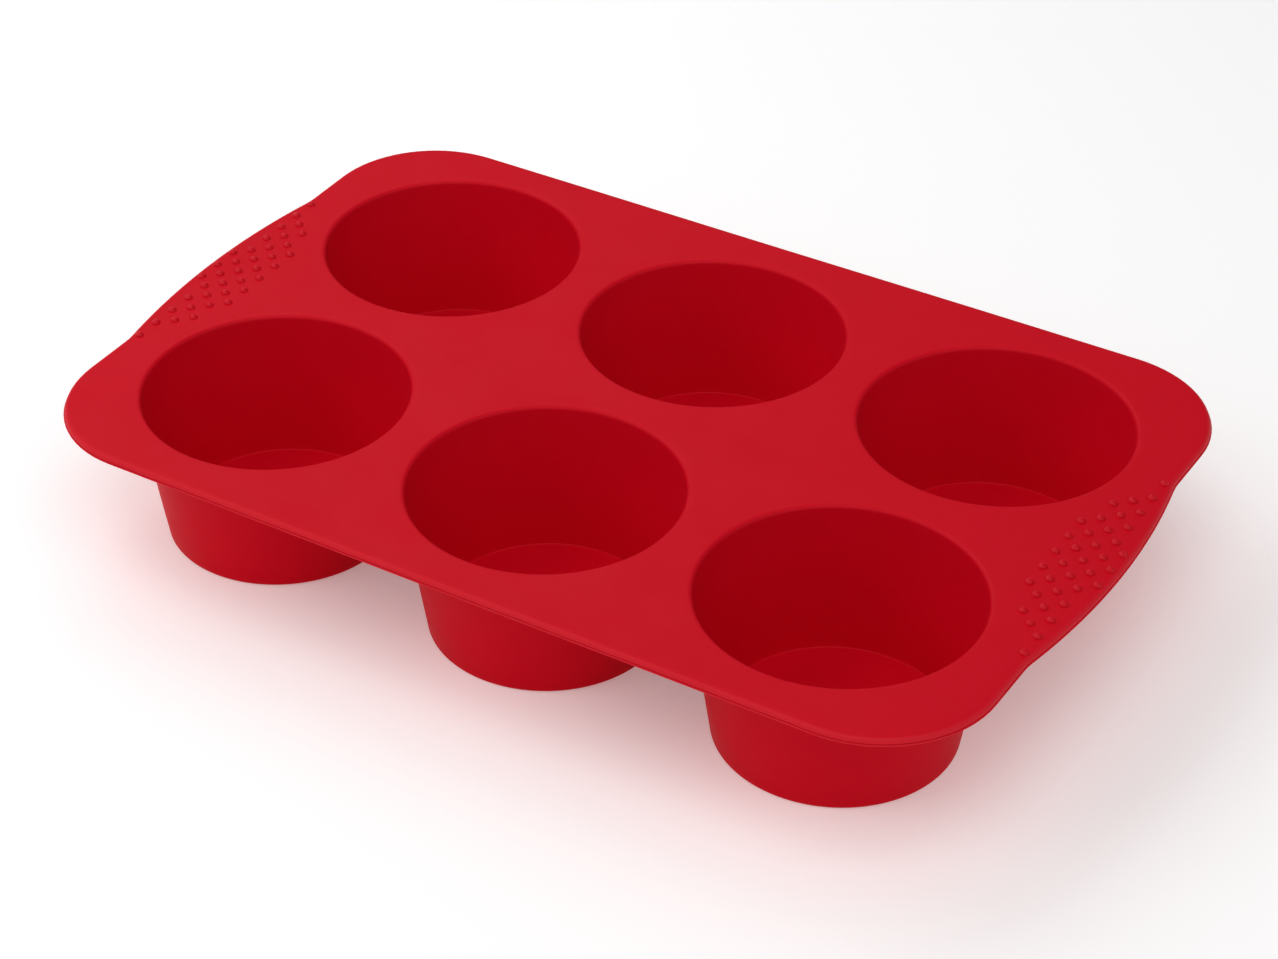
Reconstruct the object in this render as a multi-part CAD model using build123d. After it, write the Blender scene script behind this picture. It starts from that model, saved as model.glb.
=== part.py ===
from build123d import *
import os

# Six-cup muffin mould of silicone, moulded in one shot and shown here by its named regions.
# Millimetres. +X runs along the length, +Y to the back and +Z up. The origin is under the
# middle, on the surface that the six cups stand on.

# Cups
cup_pitch = 88.0            # both ways, centre to centre
cup_height = 43.5           # from the surface it stands on to the top of the deck
cup_wall = 1.3
cup_floor = 1.5
base_outer_radius = 32.3    # outer wall carried down to the underside
mouth_outer_radius = 38.7   # outer wall carried up to the top of the deck
base_edge_round = 1.5       # outside, between wall and underside
floor_round = 0.4           # inside, between wall and floor
lip_round = 1.3             # inside, between wall and deck
root_round = 1.2            # outside, between wall and the underside of the deck
collar_radius = 41.0        # the cup's share of the deck round its mouth

# Deck
deck_thickness = 2.0
deck_half_length = 139.6
deck_half_width = 93.8
corner_radius = 32.5
edge_round = 1.3            # along the top of the outer edge
parting_line_width = 0.3    # moulding flash along the bottom of the outer edge
parting_line_height = 0.5

# Grips: the tabs that swell out of the two short sides
grip_bulge = 4.3
grip_half_span = 44.0
grip_blend = 20.0
grip_root_radius = 115.0    # the line where a grip leaves the deck, a circle between the cups
grip_root_centre = 238.5

# Grip dots: raised dots in columns from the inner side of a grip to its outer edge
dot_radius = 1.3
dot_height = 1.05
dot_first_column = 126.1
dot_column_pitch = 3.78
dot_row_pitch = 7.6
dots_in_column = (5, 8, 9, 12, 3)

deck_top = cup_height
deck_bottom = cup_height - deck_thickness

columns = {"left": -cup_pitch, "centre": 0.0, "right": cup_pitch}
rows = {"front": -cup_pitch / 2, "back": cup_pitch / 2}
sides = {"left": -1, "right": 1}


def round_corner(face, x, y, radius):
    """The face with the corner nearest to x, y rounded."""
    corner = face.vertices().sort_by_distance(Vector(x, y, 0))[0]
    return fillet(corner, radius)


def outer_radius_at(height):
    return base_outer_radius + (mouth_outer_radius - base_outer_radius) * height / cup_height


def inner_radius_at(height):
    return outer_radius_at(height) - cup_wall


def make_cup():
    """One cup on the Z axis: floor, tapered wall, rounded lip and the collar round its mouth."""
    base = (base_outer_radius, 0)
    root = (outer_radius_at(deck_bottom), deck_bottom)
    lip = (inner_radius_at(deck_top), deck_top)
    floor_edge = (inner_radius_at(cup_floor), cup_floor)
    section = make_face(
        Polyline(
            (0, 0),
            base,
            root,
            (collar_radius, deck_bottom),
            (collar_radius, deck_top),
            lip,
            floor_edge,
            (0, cup_floor),
            close=True,
        )
    )
    rounds = (
        (base, base_edge_round),
        (root, root_round),
        (lip, lip_round),
        (floor_edge, floor_round),
    )
    for corner, radius in rounds:
        section = round_corner(section, *corner, radius)
    return revolve(Plane.XZ * section, Axis.Z)


def make_outline():
    """The deck seen from above: a rounded rectangle whose short sides swell out at the grips."""
    outline = RectangleRounded(2 * deck_half_length, 2 * deck_half_width, corner_radius)
    arc_radius = (grip_half_span**2 + grip_bulge**2) / (2 * grip_bulge)
    arc_centre = deck_half_length + grip_bulge - arc_radius
    half_deck = Pos(deck_half_length / 2, 0) * Rectangle(
        deck_half_length + 2 * grip_bulge, 2 * grip_half_span
    )
    swell = Pos(arc_centre, 0) * Circle(arc_radius) & half_deck
    outline = outline + swell + mirror(swell, Plane.YZ)
    for side in sides.values():
        for end in (-1, 1):
            corner = (side * deck_half_length, end * grip_half_span)
            outline = round_corner(outline, *corner, grip_blend)
    return outline


def make_plate():
    """The whole flat plate before it is divided, with its rounded top edge and parting line."""
    outline = make_outline()
    plate = extrude(Pos(0, 0, deck_bottom) * outline, deck_thickness)
    top_edges = plate.faces().sort_by(Axis.Z)[-1].edges()
    plate = fillet(top_edges, edge_round)
    flash = offset(outline, parting_line_width)
    return plate + extrude(Pos(0, 0, deck_bottom) * flash, parting_line_height)


def upright(x, y, radius):
    """An upright cylinder through the deck, for cutting it."""
    return Pos(x, y, deck_top) * Cylinder(radius, 4 * deck_thickness)


def make_dots(side):
    """The raised dots of one grip, each a low dome on its top face."""
    sphere_radius = (dot_radius**2 + dot_height**2) / (2 * dot_height)
    ball = Pos(0, 0, dot_height - sphere_radius) * Sphere(sphere_radius)
    above_deck = Pos(0, 0, sphere_radius) * Box(
        2 * sphere_radius, 2 * sphere_radius, 2 * sphere_radius
    )
    dome = ball & above_deck
    dots = []
    for column, count in enumerate(dots_in_column):
        x = side * (dot_first_column + column * dot_column_pitch)
        for row in range(count):
            y = (row - (count - 1) / 2) * dot_row_pitch
            dots.append(Pos(x, y, deck_top) * dome)
    return Compound(dots)


nodes = {}

cup = make_cup()
for row_name, y in rows.items():
    for column_name, x in columns.items():
        nodes[f"cup_{row_name}_{column_name}"] = Pos(x, y, 0) * cup

plate = make_plate()
deck = plate
for x in columns.values():
    for y in rows.values():
        deck = deck - upright(x, y, collar_radius)
for side_name, side in sides.items():
    grip_root = upright(side * grip_root_centre, 0, grip_root_radius)
    deck = deck - grip_root
    nodes[f"grip_{side_name}"] = plate & grip_root
    nodes[f"grip_dots_{side_name}"] = make_dots(side)
nodes["deck"] = deck

os.makedirs("parts", exist_ok=True)
for name, shape in nodes.items():
    shape.label = name
    export_step(shape, f"parts/{name}.step")
    print(f"{name}: {len(shape.solids())} solid(s), {shape.volume:.0f} mm3")
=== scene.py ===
from math import asin, atan2, ceil, cos, hypot, pi, radians, sin, sqrt

import bmesh
import bpy
from mathutils import Matrix, Vector, kdtree, noise
from mathutils.geometry import delaunay_2d_cdt


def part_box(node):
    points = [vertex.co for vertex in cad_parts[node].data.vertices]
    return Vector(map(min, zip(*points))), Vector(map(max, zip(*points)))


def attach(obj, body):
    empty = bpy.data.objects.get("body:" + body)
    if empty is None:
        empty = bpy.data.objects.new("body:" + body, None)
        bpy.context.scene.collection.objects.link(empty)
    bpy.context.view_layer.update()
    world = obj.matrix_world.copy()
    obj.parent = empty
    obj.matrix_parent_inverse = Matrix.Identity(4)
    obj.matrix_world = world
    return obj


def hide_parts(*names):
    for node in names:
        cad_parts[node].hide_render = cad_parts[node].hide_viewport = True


# A flexible silicone muffin mould: six cups, the deck that carries them, two grips and
# the raised dots on the grips. Metres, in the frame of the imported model.

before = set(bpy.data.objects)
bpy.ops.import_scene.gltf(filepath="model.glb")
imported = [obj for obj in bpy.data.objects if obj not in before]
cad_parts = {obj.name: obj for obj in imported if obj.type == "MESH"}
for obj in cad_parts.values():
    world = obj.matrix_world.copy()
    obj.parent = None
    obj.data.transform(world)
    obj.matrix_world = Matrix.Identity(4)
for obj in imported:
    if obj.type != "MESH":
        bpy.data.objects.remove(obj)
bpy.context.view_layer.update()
mm = 0.001
mergeGap = 0.004 * mm         # points nearer than this are one point
creaseAngle = radians(38)     # edges sharper than this stay sharp
scene = bpy.context.scene

deckLow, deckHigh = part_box("deck")
deckTop, deckBottom = deckHigh.z, deckLow.z
cupNames = sorted(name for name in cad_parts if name.startswith("cup_"))


def middleOf(node):
    low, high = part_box(node)
    return (low + high) / 2


cupCentres = {name: middleOf(name) for name in cupNames}
cupLow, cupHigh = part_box(cupNames[0])
collarRadius = (cupHigh.x - cupLow.x) / 2


# how the soft deck hangs: flat over the cups, drooping where nothing holds it up
sagSettings = {
    "supportX": 120 * mm,
    "supportY": 79 * mm,
    "droop": 0.3,             # metres per square metre of overhang squared
    "wave": 0.16 * mm,
    "waveLength": 95 * mm,
    "waveLevel": 30 * mm,     # height in the noise at which the wave is read
    "skew": 0.7 * mm,         # how far the corners are pulled along X
}


# how far the deck's surface leaves its plane at a place
def sagAt(x, y):
    s = sagSettings
    overX = max(abs(x) - s["supportX"], 0)
    overY = max(abs(y) - s["supportY"], 0)
    wave = noise.noise(Vector((x, y, s["waveLevel"])) / s["waveLength"])
    return s["wave"] * wave - s["droop"] * (overX ** 2 + overY ** 2)


# lets a finished mesh follow the deck's sag; the cups' undersides stay put
def relax(mesh):
    for vertex in mesh.vertices:
        x, y, z = vertex.co
        share = max(0.0, min(1.0, z / deckTop)) ** 2
        pull = sagSettings["skew"] * x * y / (deckHigh.x * deckHigh.y)
        vertex.co = (x + share * pull, y, z + share * sagAt(x, y))


# silicone: one family of satin reds
siliconeLook = {
    "colour": (0.650, 0.0005, 0.0125, 1),
    "deepColour": (0.630, 0.0004, 0.0115, 1),
    "roughness": (0.46, 0.56),
    "ior": 1.2,
    "mottleSize": 38 * mm,
    "smudgeSize": 16 * mm,
    "grainSize": 0.42 * mm,
    "grainHeight": 0.006 * mm,
    "rippleSize": 9 * mm,
    "rippleHeight": 0.02 * mm,
}


# adds nodes to one tree and wires them
class NodeBench:

    def __init__(self, tree):
        self.tree = tree

    def plug(self, socket, value):
        if isinstance(value, bpy.types.NodeSocket):
            self.tree.links.new(value, socket)
        else:
            socket.default_value = value

    def add(self, kind, inputs=None, **settings):
        node = self.tree.nodes.new(kind)
        for key, value in settings.items():
            setattr(node, key, value)
        for socket, value in (inputs or {}).items():
            self.plug(node.inputs[socket], value)
        return node


def makeSilicone(name, look):
    material = bpy.data.materials.new(name)
    material.use_nodes = True
    material.node_tree.nodes.clear()
    bench = NodeBench(material.node_tree)
    place = bench.add("ShaderNodeTexCoord").outputs["Object"]

    # noise with features of the given size
    def cloud(size, detail=3.0, roughness=0.55):
        inputs = {"Vector": place, "Scale": 1 / size, "Detail": detail, "Roughness": roughness}
        return bench.add("ShaderNodeTexNoise", inputs).outputs["Fac"]

    # the middle of a noise's range, stretched to run from low to high
    def spread(value, low, high):
        inputs = {"Value": value, "From Min": 0.3, "From Max": 0.7, "To Min": low, "To Max": high}
        return bench.add("ShaderNodeMapRange", inputs).outputs[0]

    tint = bench.add("ShaderNodeMix", {
        "Factor": spread(cloud(look["mottleSize"]), 0.0, 1.0),
        6: look["colour"],
        7: look["deepColour"],
    }, data_type="RGBA").outputs[2]
    if "paintedHighlightColour" in look:
        # painted highlight: the outer edge's round and its parting line are painted paler than the
        # flat deck, where light catches them
        highlight = bench.add("ShaderNodeAttribute", attribute_name="paintedEdgeHighlight").outputs["Fac"]
        tint = bench.add("ShaderNodeMix", {"Factor": highlight, 6: tint, 7: look["paintedHighlightColour"]},
                         data_type="RGBA").outputs[2]
    grain = bench.add("ShaderNodeBump", {
        "Height": cloud(look["grainSize"], 2.0),
        "Distance": look["grainHeight"],
    })
    ripple = bench.add("ShaderNodeBump", {
        "Height": cloud(look["rippleSize"], 1.0),
        "Distance": look["rippleHeight"],
        "Normal": grain.outputs[0],
    })
    shader = bench.add("ShaderNodeBsdfPrincipled", {
        "Base Color": tint,
        "Roughness": spread(cloud(look["smudgeSize"], 5.0, 0.6), *look["roughness"]),
        "Normal": ripple.outputs[0],
        "IOR": look["ior"],
    })
    bench.add("ShaderNodeOutputMaterial", {"Surface": shader.outputs[0]})
    return material


deckSilicone = makeSilicone("deckSilicone", {
    **siliconeLook,
    # the paler colour painted on the outer edge as a highlight
    "paintedHighlightColour": (0.686, 0.0118, 0.0245, 1),
})
cupSilicone = makeSilicone("cupSilicone", siliconeLook)
# painted shade: the outsides and undersides of the cups, which look down, get a little darker
# colour than the deck, and are a little duller
undersideShadeSilicone = makeSilicone("undersideShadeSilicone", {
    **siliconeLook,
    "colour": (0.622, 0.0005, 0.0120, 1),
    "deepColour": (0.603, 0.0004, 0.0110, 1),
    "ior": 1.12,
})
# the dots: a little glossier, and a little lighter in colour than the deck, a painted highlight on
# the raised domes
dotHighlightSilicone = makeSilicone("dotHighlightSilicone", {
    **siliconeLook,
    "colour": (0.660, 0.0006, 0.0135, 1),
    "deepColour": (0.640, 0.0005, 0.0125, 1),
    "roughness": (0.36, 0.44),
    "ior": 1.27,
})
print("silicone ready")


# closes a mesh, turns its faces outwards and shades it smooth up to its creases
def finishMesh(mesh):
    work = bmesh.new()
    work.from_mesh(mesh)
    bmesh.ops.remove_doubles(work, verts=work.verts, dist=mergeGap)
    bmesh.ops.recalc_face_normals(work, faces=work.faces)
    for face in work.faces:
        face.smooth = True
    for edge in work.edges:
        edge.smooth = edge.calc_face_angle(0) < creaseAngle
    work.to_mesh(mesh)
    work.free()


# makes a mesh one piece of the mould, standing for its CAD node
def settle(name, mesh, material, node):
    mesh.name = name
    mesh.materials.clear()
    mesh.materials.append(material)
    relax(mesh)
    finishMesh(mesh)
    piece = bpy.data.objects.new(name, mesh)
    scene.collection.objects.link(piece)
    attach(piece, "root")
    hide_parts(node)
    return piece


# a Geometry Nodes tree with named inputs
class ShapeTree(NodeBench):

    def __init__(self, name, lengths=(), counts=()):
        super().__init__(bpy.data.node_groups.new(name, "GeometryNodeTree"))
        face = self.tree.interface
        face.new_socket("Geometry", in_out="OUTPUT", socket_type="NodeSocketGeometry")
        for label in lengths:
            face.new_socket(label, in_out="INPUT", socket_type="NodeSocketFloat")
        for label in counts:
            face.new_socket(label, in_out="INPUT", socket_type="NodeSocketInt")
        face.new_socket("Material", in_out="INPUT", socket_type="NodeSocketMaterial")
        self.given = self.add("NodeGroupInput").outputs

    def math(self, operation, a, b=0.0):
        return self.add("ShaderNodeMath", {0: a, 1: b}, operation=operation).outputs[0]

    def point(self, x=0.0, y=0.0, z=0.0):
        return self.add("ShaderNodeCombineXYZ", {0: x, 1: y, 2: z}).outputs[0]

    def index(self):
        return self.add("GeometryNodeInputIndex").outputs[0]

    # the value at an index, out of a list of values
    def pick(self, index, values, kind):
        node = self.add("GeometryNodeIndexSwitch", {}, data_type=kind)
        while len(node.index_switch_items) < len(values):
            node.index_switch_items.new()
        self.plug(node.inputs["Index"], index)
        for place, value in enumerate(values):
            self.plug(node.inputs[place + 1], value)
        return node.outputs[0]

    # turns a profile round the Z axis: its x is the radius and its y the height
    def turn(self, profile, reach, segments):
        place = self.add("GeometryNodeInputPosition").outputs[0]
        parts = self.add("ShaderNodeSeparateXYZ", {0: place}).outputs
        moved = self.add("GeometryNodeSetPosition", {
            "Geometry": profile,
            "Position": self.point(self.math("SUBTRACT", parts[0], reach),
                                   self.math("MULTIPLY", parts[1], -1.0)),
        }).outputs[0]
        circle = self.add("GeometryNodeCurvePrimitiveCircle",
                          {"Resolution": segments, "Radius": reach}, mode="RADIUS").outputs[0]
        shell = self.add("GeometryNodeCurveToMesh", {"Curve": circle, "Profile Curve": moved})
        return self.add("GeometryNodeMergeByDistance",
                        {"Geometry": shell.outputs[0], "Distance": mergeGap}).outputs[0]

    def finish(self, geometry):
        real = self.add("GeometryNodeRealizeInstances", {0: geometry}).outputs[0]
        painted = self.add("GeometryNodeSetMaterial",
                           {"Geometry": real, "Material": self.given["Material"]}).outputs[0]
        self.add("NodeGroupOutput", {0: painted})
        return self.tree


# the plain mesh that a Geometry Nodes tree makes from the given inputs
def meshFrom(tree, inputs):
    host = bpy.data.objects.new("host", bpy.data.meshes.new("host"))
    scene.collection.objects.link(host)
    modifier = host.modifiers.new("shape", "NODES")
    modifier.node_group = tree
    for item in tree.interface.items_tree:
        if item.in_out == "INPUT" and item.name in inputs:
            modifier[item.identifier] = inputs[item.name]
    evaluated = host.evaluated_get(bpy.context.evaluated_depsgraph_get())
    mesh = bpy.data.meshes.new_from_object(evaluated)
    bpy.data.objects.remove(host)
    return mesh


# cups: a wall section with rounded corners, turned round its axis
cupShape = {
    "Outer Base Radius": 32.3 * mm,
    "Outer Mouth Radius": 38.7 * mm,
    "Height": deckTop,
    "Collar Radius": collarRadius,
    "Deck Thickness": deckTop - deckBottom,
    "Wall": 1.3 * mm,
    "Floor": 1.5 * mm,
    "Base Round": 1.5 * mm,
    "Floor Round": 0.4 * mm,
    "Lip Round": 1.3 * mm,
    "Root Round": 1.2 * mm,
    "Step": 2 * mm,           # longest stretch left undivided
}
# the painted shade on the downward faces starts this far under the deck
shadeMargin = 0.3 * mm         # the outside's silicone starts this far under the deck
cupCounts = {"Segments": 144, "Round Steps": 10}


def makeCupTree():
    t = ShapeTree("cupShape", cupShape, cupCounts)
    g = t.given
    underDeck = t.math("SUBTRACT", g["Height"], g["Deck Thickness"])
    flare = t.math("DIVIDE", t.math("SUBTRACT", g["Outer Mouth Radius"], g["Outer Base Radius"]),
                   g["Height"])

    def outerAt(z):
        return t.math("ADD", g["Outer Base Radius"], t.math("MULTIPLY", flare, z))

    def innerAt(z):
        return t.math("SUBTRACT", outerAt(z), g["Wall"])

    corners = (
        (t.point(), 0.0),
        (t.point(g["Outer Base Radius"]), g["Base Round"]),
        (t.point(outerAt(underDeck), underDeck), g["Root Round"]),
        (t.point(g["Collar Radius"], underDeck), 0.0),
        (t.point(g["Collar Radius"], g["Height"]), 0.0),
        (t.point(innerAt(g["Height"]), g["Height"]), g["Lip Round"]),
        (t.point(innerAt(g["Floor"]), g["Floor"]), g["Floor Round"]),
        (t.point(0.0, g["Floor"]), 0.0),
    )
    places, rounds = zip(*corners)
    index = t.index()
    line = t.add("GeometryNodeMeshLine", {"Count": len(corners)}).outputs[0]
    line = t.add("GeometryNodeSetPosition",
                 {"Geometry": line, "Position": t.pick(index, places, "VECTOR")}).outputs[0]
    section = t.add("GeometryNodeMeshToCurve", {0: line}).outputs[0]
    section = t.add("GeometryNodeFilletCurve", {
        "Curve": section,
        "Count": g["Round Steps"],
        "Radius": t.pick(index, rounds, "FLOAT"),
        "Limit Radius": True,
    }, mode="POLY").outputs[0]
    # long stretches are divided, so that the shading stays even and the sag can bend them
    here = t.add("GeometryNodeInputPosition").outputs[0]
    following = t.add("GeometryNodeFieldAtIndex",
                      {"Value": here, "Index": t.math("ADD", index, 1.0)},
                      data_type="FLOAT_VECTOR").outputs[0]
    gap = t.add("ShaderNodeVectorMath", {0: here, 1: following}, operation="DISTANCE")
    cuts = t.math("FLOOR", t.math("DIVIDE", gap.outputs["Value"], g["Step"]))
    section = t.add("GeometryNodeSubdivideCurve", {"Curve": section, "Cuts": cuts}).outputs[0]
    return t.finish(t.turn(section, g["Collar Radius"], g["Segments"]))


# paints shade on the outer wall and the underside of a cup, which both look down, by giving them
# the darker, duller silicone
def paintUndersideShade(mesh):
    mesh.materials.append(undersideShadeSilicone)
    for face in mesh.polygons:
        if face.normal.z < 0 and face.center.z < deckBottom - shadeMargin:
            face.material_index = 1


cupTree = makeCupTree()
for name, centre in cupCentres.items():
    cupMesh = meshFrom(cupTree, {**cupShape, **cupCounts, "Material": cupSilicone})
    cupMesh.transform(Matrix.Translation((centre.x, centre.y, 0)))
    settle(name.replace("_", "-"), cupMesh, cupSilicone, name)
    paintUndersideShade(cupMesh)
print("cups ready")


# deck and grips: one flat sheet with round openings, divided where the grips begin
deckShape = {
    "cornerRadius": 32.5 * mm,
    "edgeRound": 1.3 * mm,
    "partingWidth": 0.3 * mm,
    "partingHeight": 0.5 * mm,
    "grooveDepth": 0.2 * mm,
    "gripHalfSpan": 44 * mm,
    "gripBlend": 20 * mm,
    "gripRootRadius": 115 * mm,
    "step": 3 * mm,           # between points along the outline and across the sheet
    "turnStep": radians(6),   # most that an arc turns between two points
    "clearance": 0.6,         # of a step, between the sheet's inner points and its outlines
    "roundSteps": 8,
    # the painted highlight on the outer edge: steps of the round until it is strongest, and its
    # strength in the groove
    "highlightSteps": 3,           # steps of the edge's round until it is at its palest
    "grooveHighlight": 0.3,
}
planTolerance = 1e-7          # for the flat triangulation
collarShare = 0.999           # keeps the slim faces that touch a collar
halfLength = deckHigh.x - deckShape["partingWidth"]
halfWidth = deckHigh.y - deckShape["partingWidth"]
gripLow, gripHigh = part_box("grip_right")
gripReach = gripHigh.x - deckShape["partingWidth"]
gripRootCentre = gripLow.x + deckShape["gripRootRadius"]
seamEnd = sqrt(deckShape["gripRootRadius"] ** 2
               - (gripRootCentre - halfLength + deckShape["edgeRound"]) ** 2)


# points and outward directions along an arc about a centre, both ends included
def arcRun(centre, radius, start, end, facing=1):
    span = abs(end - start)
    count = max(2, ceil(span * radius / deckShape["step"]), ceil(span / deckShape["turnStep"]))
    run = []
    for k in range(count + 1):
        angle = start + (end - start) * k / count
        out = Vector((cos(angle), sin(angle)))
        run.append((Vector(centre) + radius * out, out * facing))
    return run


def lineRun(start, end, out):
    count = max(1, ceil((Vector(end) - Vector(start)).length / deckShape["step"]))
    return [(Vector(start).lerp(Vector(end), k / count), Vector(out)) for k in range(count + 1)]


# the outline from the end of the right grip round to the middle of the back
def quarterOutline():
    s = deckShape
    bulge = gripReach - halfLength
    swellRadius = (s["gripHalfSpan"] ** 2 + bulge ** 2) / (2 * bulge)
    swellCentre = gripReach - swellRadius
    blendX = halfLength + s["gripBlend"]
    blendY = sqrt((swellRadius + s["gripBlend"]) ** 2 - (blendX - swellCentre) ** 2)
    turn = atan2(blendY, blendX - swellCentre)
    cornerX, cornerY = halfLength - s["cornerRadius"], halfWidth - s["cornerRadius"]
    runs = (
        arcRun((swellCentre, 0), swellRadius, 0, turn),
        arcRun((blendX, blendY), s["gripBlend"], pi + turn, pi, facing=-1),
        lineRun((halfLength, blendY), (halfLength, seamEnd), (1, 0)),
        lineRun((halfLength, seamEnd), (halfLength, cornerY), (1, 0)),
        arcRun((cornerX, cornerY), s["cornerRadius"], 0, pi / 2),
        lineRun((cornerX, halfWidth), (0, halfWidth), (0, 1)),
    )
    outline = list(runs[0])
    for run in runs[1:]:
        outline += run[1:]
    return outline


def wholeOutline():
    quarter = quarterOutline()

    def turned(run, flipX, flipY):
        flip = Vector((flipX, flipY))
        return [(point * flip, out * flip) for point, out in run]

    return (quarter + turned(quarter[-2::-1], -1, 1) + turned(quarter[1:], -1, -1)
            + turned(quarter[-2:0:-1], 1, -1))


outline = wholeOutline()


# the outer edge from its top to the underside: outwards, height and how strong the painted
# highlight is there
def edgeProfile():
    s = deckShape
    steps = s["roundSteps"]
    profile = []
    for k in range(1, steps + 1):
        angle = pi / 2 * k / steps
        profile.append((s["edgeRound"] * (sin(angle) - 1),
                        deckTop - s["edgeRound"] * (1 - cos(angle)),
                        min(1.0, k / s["highlightSteps"])))
    # a fine groove runs above the parting line
    groove = s["grooveDepth"]
    half = s["partingHeight"] / 2
    profile.append((0.0, deckBottom + s["partingHeight"] + groove, s["grooveHighlight"]))
    # the parting line's painted highlight is strongest at its outermost point
    for k in range(steps + 1):
        angle = pi * k / steps
        profile.append(((s["partingWidth"] + groove) * sin(angle) - groove,
                        deckBottom + half * (1 + cos(angle)),
                        sin(angle)))
    return profile


def isGrip(x, y, side):
    return hypot(side * x - gripRootCentre, y) < deckShape["gripRootRadius"]


# whether a spot on the deck belongs to a cup's collar, shrunk by a share of its radius
def inCollar(spot, share=1.0):
    return any((spot - centre.xy).length < collarRadius * share for centre in cupCentres.values())


# the deck's flat face as triangles: its points, its faces and the rim's points in order
def sheetPlan():
    s = deckShape
    points, edges = [], []

    def addRun(run, closed):
        first = len(points)
        points.extend(run)
        edges.extend((first + k, first + k + 1) for k in range(len(run) - 1))
        if closed:
            edges.append((len(points) - 1, first))

    addRun([point - out * s["edgeRound"] for point, out in outline], True)
    segments = cupCounts["Segments"]
    for centre in cupCentres.values():
        addRun([centre.xy + collarRadius * Vector((cos(a), sin(a)))
                for a in (2 * pi * k / segments for k in range(segments))], True)
    reach = asin(seamEnd / s["gripRootRadius"])
    for side in (-1, 1):
        seam = arcRun((gripRootCentre, 0), s["gripRootRadius"], pi - reach, pi + reach)
        first = len(points)
        addRun([Vector((side * point.x, point.y)) for point, out in seam[1:-1]], False)
        for end, neighbour in ((1, first), (-1, len(points) - 1)):
            ringEnd = Vector((side * (halfLength - s["edgeRound"]), end * seamEnd))
            nearest = min(range(len(outline)), key=lambda i: (points[i] - ringEnd).length)
            edges.append((nearest, neighbour))

    near = kdtree.KDTree(len(points))
    for k, point in enumerate(points):
        near.insert(point.to_3d(), k)
    near.balance()
    step = s["step"]
    rowGap = step * sqrt(3) / 2
    rowCount, columnCount = ceil(halfWidth / rowGap), ceil(gripReach / step)
    fill = []
    for row in range(-rowCount, rowCount + 1):
        for column in range(-columnCount, columnCount + 1):
            spot = Vector(((column + row % 2 / 2) * step, row * rowGap))
            if not inCollar(spot) and near.find(spot.to_3d())[2] > s["clearance"] * step:
                fill.append(spot)
    result = delaunay_2d_cdt(points + fill, edges, [], 1, planTolerance)
    places, faces, origins = result[0], result[2], result[3]
    where = {old: new for new, olds in enumerate(origins) for old in olds}
    rim = [where[k] for k in range(len(outline))]
    kept = []
    for face in faces:
        middle = sum((places[k] for k in face), Vector((0, 0))) / len(face)
        if not inCollar(middle, collarShare):
            kept.append(face)
    return places, kept, rim


# a closed slab over the given faces, with the moulded edge wherever they reach the rim
def sheetPiece(places, faces, rim):
    work = bmesh.new()
    # how strongly each point of the outer edge is painted with a highlight
    highlightLayer = work.verts.layers.float.new("paintedEdgeHighlight")
    used = sorted({k for face in faces for k in face})
    top = {k: work.verts.new((*places[k], deckTop)) for k in used}
    bottom = {k: work.verts.new((*places[k], deckBottom)) for k in used}
    ends = {}
    for face in faces:
        work.faces.new([top[k] for k in face])
        work.faces.new([bottom[k] for k in reversed(face)])
        for a, b in zip(face, (*face[1:], face[0])):
            ends[(a, b)] = ends.get((a, b), 0) + 1
    profile = edgeProfile()
    position = {k: i for i, k in enumerate(rim)}
    edgeVerts = {}

    def edgeOf(k):
        if k not in edgeVerts:
            point, out = outline[position[k]]
            middle = []
            for reach, height, highlight in profile:
                middle.append(work.verts.new((*(point + out * reach), height)))
                middle[-1][highlightLayer] = highlight
            edgeVerts[k] = [top[k], *middle, bottom[k]]
        return edgeVerts[k]

    count = len(rim)
    rimEnds = []
    for (a, b) in ends:
        if (b, a) in ends:
            continue
        onRim = (a in position and b in position
                 and (position[b] - position[a]) % count in (1, count - 1))
        if onRim:
            first, second = edgeOf(a), edgeOf(b)
            for k in range(len(first) - 1):
                work.faces.new((first[k], first[k + 1], second[k + 1], second[k]))
            rimEnds += [a, b]
        else:
            work.faces.new((top[a], bottom[a], bottom[b], top[b]))
    for k in set(rimEnds):
        if rimEnds.count(k) == 1:
            work.faces.new(edgeOf(k))
    mesh = bpy.data.meshes.new("sheet")
    work.to_mesh(mesh)
    work.free()
    return mesh


places, faces, rim = sheetPlan()


def regionOf(face):
    middle = sum((places[k] for k in face), Vector((0, 0))) / len(face)
    for side, name in ((-1, "grip_left"), (1, "grip_right")):
        if isGrip(middle.x, middle.y, side):
            return name
    return "deck"


regions = {}
for face in faces:
    regions.setdefault(regionOf(face), []).append(face)
for name, regionFaces in regions.items():
    settle(name.replace("_", "-") + "-sheet", sheetPiece(places, regionFaces, rim),
           deckSilicone, name)
print("deck and grips ready", {name: len(found) for name, found in regions.items()})


# grip dots: a lattice of low domes, trimmed column by column to the shape of the grip
dotShape = {
    "Radius": 1.3 * mm,
    "Dome Height": 1.05 * mm,
    "First Column": 126.1 * mm,
    "Column Pitch": 3.78 * mm,
    "Row Pitch": 7.6 * mm,
    "Deck Top": deckTop,
}
dotCounts = {"Dome Segments": 20, "Dome Rings": 7}
dotsInColumn = (5, 8, 9, 12, 3)
dotVariety = {"Min": 0.96, "Max": 1.03, "Seed": 7}


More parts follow.
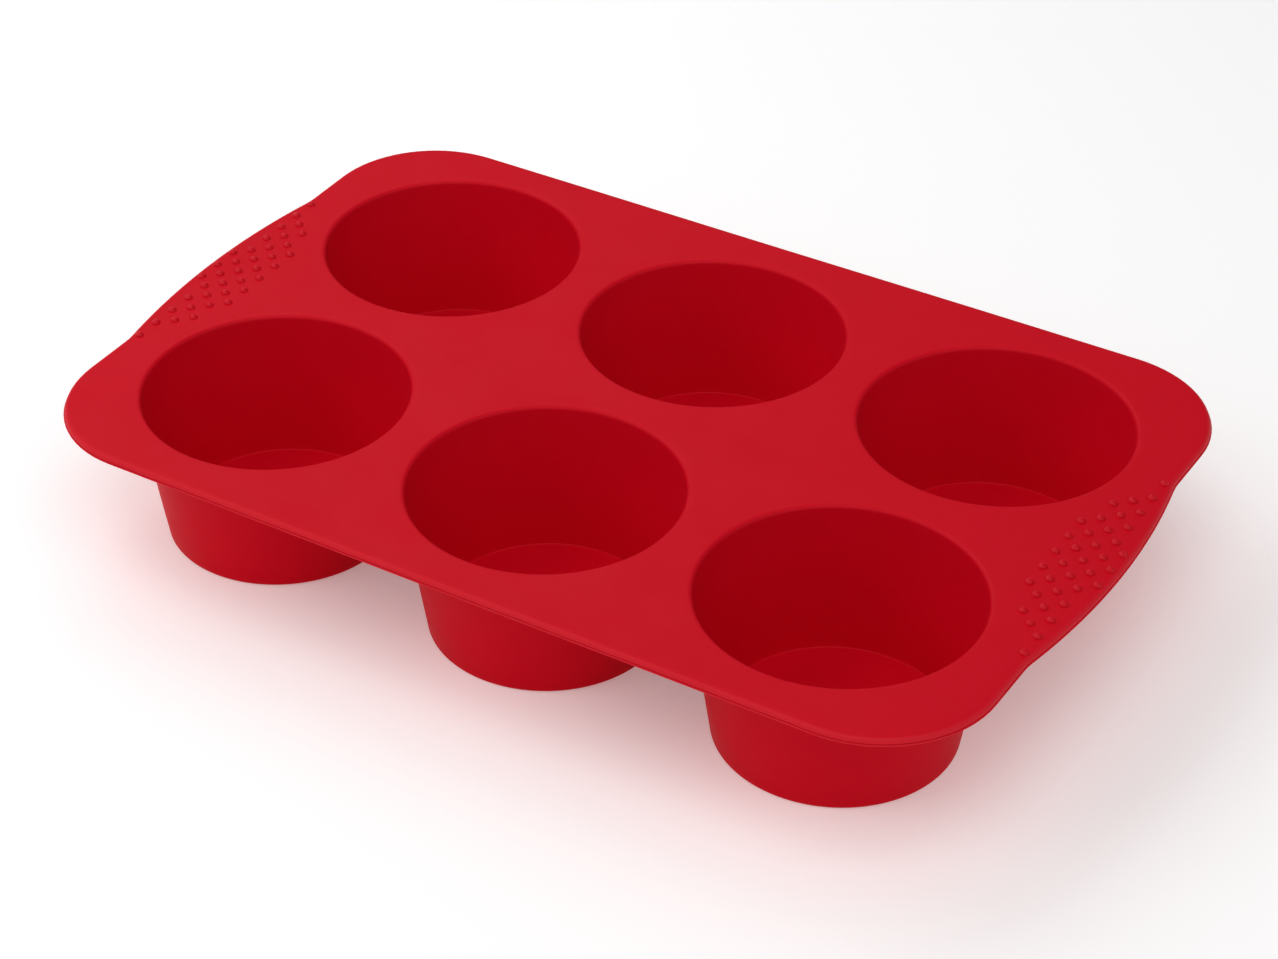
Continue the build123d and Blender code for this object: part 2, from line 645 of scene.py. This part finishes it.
def makeDotTree():
    t = ShapeTree("gripDots", dotShape, dotCounts)
    g = t.given
    # the dome's profile: an arc from the crown to the foot, then back to the middle
    squares = t.math("ADD", t.math("POWER", g["Radius"], 2.0),
                     t.math("POWER", g["Dome Height"], 2.0))
    ball = t.math("DIVIDE", squares, t.math("MULTIPLY", g["Dome Height"], 2.0))
    reach = t.math("ARCCOSINE", t.math("SUBTRACT", 1.0, t.math("DIVIDE", g["Dome Height"], ball)))
    index = t.index()
    angle = t.math("MULTIPLY", reach, t.math("DIVIDE", index, g["Dome Rings"]))
    onArc = t.math("LESS_THAN", index, t.math("ADD", g["Dome Rings"], 0.5))
    radius = t.math("MULTIPLY", onArc, t.math("MULTIPLY", ball, t.math("SINE", angle)))
    fall = t.math("MULTIPLY", ball, t.math("SUBTRACT", 1.0, t.math("COSINE", angle)))
    height = t.math("MULTIPLY", onArc, t.math("SUBTRACT", g["Dome Height"], fall))
    line = t.add("GeometryNodeMeshLine", {"Count": t.math("ADD", g["Dome Rings"], 2.0)}).outputs[0]
    line = t.add("GeometryNodeSetPosition",
                 {"Geometry": line, "Position": t.point(radius, height)}).outputs[0]
    profile = t.add("GeometryNodeMeshToCurve", {0: line}).outputs[0]
    dome = t.turn(profile, g["Radius"], g["Dome Segments"])
    # the lattice: every other place of a fine grid, as far out as each column goes
    columns = len(dotsInColumn)
    halfRows = max(dotsInColumn) - 1
    rows = 2 * halfRows + 1
    grid = t.add("GeometryNodeMeshGrid", {
        "Size X": t.math("MULTIPLY", g["Column Pitch"], columns - 1.0),
        "Size Y": t.math("MULTIPLY", g["Row Pitch"], float(halfRows)),
        "Vertices X": columns,
        "Vertices Y": rows,
    }).outputs[0]
    spot = t.index()
    column = t.math("FLOOR", t.math("DIVIDE", t.math("ADD", spot, 0.5), float(rows)))
    row = t.math("SUBTRACT", t.math("MODULO", spot, float(rows)), float(halfRows))
    limit = t.pick(column, [count - 1.0 for count in dotsInColumn], "FLOAT")
    apart = t.math("SUBTRACT", limit, t.math("ABSOLUTE", row))
    tooFar = t.math("LESS_THAN", apart, -0.5)
    oddness = t.math("MODULO", t.math("ABSOLUTE", apart), 2.0)
    between = t.math("GREATER_THAN", oddness, 0.5)
    places = t.add("GeometryNodeDeleteGeometry",
                   {"Geometry": grid, "Selection": t.math("MAXIMUM", tooFar, between)},
                   domain="POINT").outputs[0]
    middle = t.math("ADD", g["First Column"],
                    t.math("MULTIPLY", g["Column Pitch"], (columns - 1) / 2))
    places = t.add("GeometryNodeSetPosition",
                   {"Geometry": places, "Offset": t.point(middle, 0.0, g["Deck Top"])}).outputs[0]
    size = t.add("FunctionNodeRandomValue", dotVariety, data_type="FLOAT")
    dots = t.add("GeometryNodeInstanceOnPoints",
                 {"Points": places, "Instance": dome, "Scale": size.outputs[1]}).outputs[0]
    return t.finish(dots)


dotTree = makeDotTree()
for side, name in ((-1, "grip_dots_left"), (1, "grip_dots_right")):
    dotMesh = meshFrom(dotTree, {**dotShape, **dotCounts, "Material": dotHighlightSilicone})
    dotMesh.transform(Matrix.Diagonal((side, 1, 1, 1)))
    settle(name.replace("_", "-"), dotMesh, dotHighlightSilicone, name)
print("grip dots ready")


# camera: from the front and right, looking down on the mould
cameraView = {
    "target": (-15.4 * mm, -20.0 * mm, 43.5 * mm),
    "distance": 882.6 * mm,
    "azimuth": radians(32.89),
    "elevation": radians(34.6),
    "roll": radians(-0.87),
    "lens": 92.0,
    "sensor": 36,
    "shift": (0.0736, -0.0426),
    "clip": (0.02, 50),
}


def makeCamera(view):
    lens = bpy.data.cameras.new("camera")
    lens.lens = view["lens"]
    lens.sensor_width = view["sensor"]
    lens.shift_x, lens.shift_y = view["shift"]
    lens.clip_start, lens.clip_end = view["clip"]
    camera = bpy.data.objects.new("camera", lens)
    scene.collection.objects.link(camera)
    a, e = view["azimuth"], view["elevation"]
    away = Vector((sin(a) * cos(e), -cos(a) * cos(e), sin(e)))
    camera.location = Vector(view["target"]) + away * view["distance"]
    aim = away.to_track_quat("Z", "Y").to_matrix()
    camera.rotation_euler = (aim @ Matrix.Rotation(view["roll"], 3, "Z")).to_euler()
    scene.camera = camera


makeCamera(cameraView)


# studio: a pale table that glows a little, an evenly dim room and large soft boxes
studio = {
    "floorSize": 8.0,
    "floorColour": (0.95, 0.95, 0.95, 1),
    "floorRoughness": 0.8,
    "floorGlow": 0.23,
    "glowColour": (1, 1, 1, 1),
    "roomColour": (1, 1, 1, 1),
    "roomStrength": 0.22,
}
softBoxes = {
    "topFront": {"place": (0.5, -0.8, 1.9), "size": 1.6, "power": 15.2},
    "nearFrontLeft": {"place": (-0.7, -0.75, 0.75), "size": 0.7, "power": 2.7},
    "right": {"place": (1.7, 0, 0.9), "size": 1.2, "power": 4.1},
    "nearLeft": {"place": (-0.65, 0, 0.75), "size": 0.6, "power": 1.8},
    "nearBackLeft": {"place": (-0.5, 0.5, 0.8), "size": 0.6, "power": 1.4},
}


def makeTable():
    mesh = bpy.data.meshes.new("table")
    work = bmesh.new()
    bmesh.ops.create_grid(work, x_segments=1, y_segments=1, size=studio["floorSize"] / 2)
    work.to_mesh(mesh)
    work.free()
    paper = bpy.data.materials.new("paleTable")
    paper.use_nodes = True
    shader = paper.node_tree.nodes["Principled BSDF"]
    shader.inputs["Base Color"].default_value = studio["floorColour"]
    shader.inputs["Roughness"].default_value = studio["floorRoughness"]
    shader.inputs["Emission Color"].default_value = studio["glowColour"]
    shader.inputs["Emission Strength"].default_value = studio["floorGlow"]
    mesh.materials.append(paper)
    table = bpy.data.objects.new("table", mesh)
    scene.collection.objects.link(table)


def makeLights():
    world = bpy.data.worlds.new("room")
    world.use_nodes = True
    backdrop = world.node_tree.nodes["Background"].inputs
    backdrop["Color"].default_value = studio["roomColour"]
    backdrop["Strength"].default_value = studio["roomStrength"]
    scene.world = world
    for name, box in softBoxes.items():
        light = bpy.data.lights.new(name, "AREA")
        light.shape = "SQUARE"
        light.size = box["size"]
        light.energy = box["power"]
        lamp = bpy.data.objects.new(name, light)
        lamp.location = box["place"]
        lamp.rotation_euler = Vector(box["place"]).to_track_quat("Z", "Y").to_euler()
        scene.collection.objects.link(lamp)
    scene.view_settings.view_transform = "Standard"


makeTable()
makeLights()
print("studio ready")
